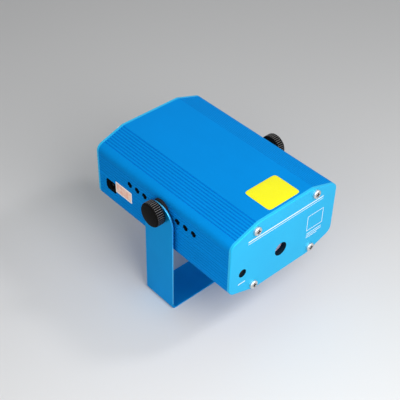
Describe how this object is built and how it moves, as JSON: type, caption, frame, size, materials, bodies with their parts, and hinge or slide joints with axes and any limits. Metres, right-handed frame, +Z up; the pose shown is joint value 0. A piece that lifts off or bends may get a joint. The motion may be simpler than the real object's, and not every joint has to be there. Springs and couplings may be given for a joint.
{
  "type": "laser show projector",
  "caption": "Small laser show projector: a ribbed metal case tilts in a U-shaped strap bracket between two knurled thumb screws, and the beam leaves a round window in its front panel.",
  "frame": {"origin": "centre of the fixing hole on the underside of the bracket, on the table", "axes": "+Z up, the beam leaves along -Y, +X to the right seen from the front"},
  "size_m": [0.1138, 0.1396, 0.0983],
  "materials": {
    "case_blue": "satin blue anodised extrusion",
    "panel_blue": "satin blue sheet",
    "bracket_blue": "satin blue strap",
    "black_plastic": "moulded black",
    "screw_steel": "bright plated",
    "stud_steel": "turned",
    "brass": "turned",
    "rubber": "matt",
    "clear_glass": "polished",
    "coated_glass": "coated",
    "mirror_glass": "front silvered",
    "board_green": "solder mask",
    "chip_black": "moulded",
    "capacitor_can": "sleeved",
    "plug_white": "moulded",
    "lead_black": "insulation",
    "bare_aluminium": "milled",
    "gear_plastic": "moulded",
    "pin_metal": "plated"
  },
  "bodies": {
    "bracket": {"yoke_bracket": "bracket_blue"},
    "left_washer": {"left_lock_washer": "stud_steel"},
    "right_washer": {"right_lock_washer": "stud_steel"},
    "left_knob": {"left_thumb_knob": "black_plastic", "left_knob_stud": "stud_steel"},
    "right_knob": {"right_thumb_knob": "black_plastic", "right_knob_stud": "stud_steel"},
    "mode_slider": {"mode_switch_slider": "black_plastic"},
    "speed_dial": {"speed_knob": "black_plastic", "speed_pot_shaft": "stud_steel"},
    "fan_wheel": {"fan_rotor": "black_plastic"},
    "grating_wheel": {"grating_ring_gear": "gear_plastic", "grating_glass": "coated_glass"},
    "pinion": {"motor_pinion": "brass"},
    "head": {"aperture_window": "clear_glass", "board_capacitors": "capacitor_can", "board_chips": "chip_black", "board_connectors": "plug_white", "dc_jack_pin": "pin_metal", "dc_power_jack": "black_plastic", "dichroic_combiner": "coated_glass", "fan_frame": "black_plastic", "fan_lead": "lead_black", "fan_nuts": "screw_steel", "fan_screws": "screw_steel", "fold_mirror": "mirror_glass", "front_panel": "panel_blue", "front_panel_screws": "screw_steel", "grating_holder": "black_plastic", "grating_holder_screws": "screw_steel", "grating_motor": "stud_steel", "grating_motor_screws": "screw_steel", "green_laser_module": "brass", "laser_block": "bare_aluminium", "laser_block_screws": "screw_steel", "laser_leads": "lead_black", "laser_lenses": "clear_glass", "laser_set_screws": "screw_steel", "left_friction_washer": "rubber", "left_thread_insert": "brass", "lower_shell": "case_blue", "main_circuit_board": "board_green", "microphone_boot": "rubber", "microphone_capsule": "bare_aluminium", "microphone_lead": "lead_black", "mirror_mount": "bare_aluminium", "mirror_mount_screws": "screw_steel", "mode_switch_body": "black_plastic", "motor_lead": "lead_black", "optics_bed": "bare_aluminium", "optics_bed_screws": "screw_steel", "rear_panel": "panel_blue", "rear_panel_screws": "screw_steel", "red_laser_module": "brass", "right_friction_washer": "rubber", "right_thread_insert": "brass", "speed_pot_body": "capacitor_can", "upper_shell": "case_blue", "window_holder": "black_plastic"}
  },
  "joints": [
    {"name": "head_tilt", "type": "hinge", "parent": "bracket", "child": "head", "pos_m": [0, 0, 0.08], "axis": [1, 0, 0], "range_deg": [-180, 180]},
    {"name": "left_screw_travel", "type": "slide", "parent": "head", "child": "left_washer", "axis": [-1, 0, 0], "range_m": [0, 0.0072]},
    {"name": "left_knob_turn", "type": "hinge", "parent": "left_washer", "child": "left_knob", "pos_m": [-0.0496, 0, 0.08], "axis": [-1, 0, 0], "range_deg": [0, 3240]},
    {"name": "right_screw_travel", "type": "slide", "parent": "head", "child": "right_washer", "axis": [1, 0, 0], "range_m": [0, 0.0072]},
    {"name": "right_knob_turn", "type": "hinge", "parent": "right_washer", "child": "right_knob", "pos_m": [0.0496, 0, 0.08], "axis": [1, 0, 0], "range_deg": [0, 3240]},
    {"name": "mode_switch", "type": "slide", "parent": "head", "child": "mode_slider", "axis": [1, 0, 0], "range_m": [-0.0025, 0.0025]},
    {"name": "speed_turn", "type": "hinge", "parent": "head", "child": "speed_dial", "pos_m": [0.0355, 0.0692, 0.078], "axis": [0, 1, 0], "range_deg": [-150, 150]},
    {"name": "fan_spin", "type": "hinge", "parent": "head", "child": "fan_wheel", "pos_m": [0, 0.0592, 0.0708], "axis": [0, 1, 0], "continuous": true},
    {"name": "grating_spin", "type": "hinge", "parent": "head", "child": "grating_wheel", "pos_m": [-0.0023, -0.0548, 0.0635], "axis": [0, 1, 0], "continuous": true},
    {"name": "pinion_spin", "type": "hinge", "parent": "head", "child": "pinion", "pos_m": [0.0117, -0.0548, 0.0635], "axis": [0, 1, 0], "continuous": true}
  ],
  "couplings": [
    {"joint": "left_knob_turn", "follows": "left_screw_travel", "rad_per_m": 7854},
    {"joint": "right_knob_turn", "follows": "right_screw_travel", "rad_per_m": 7854},
    {"joint": "pinion_spin", "follows": "grating_spin", "ratio": -3}
  ]
}
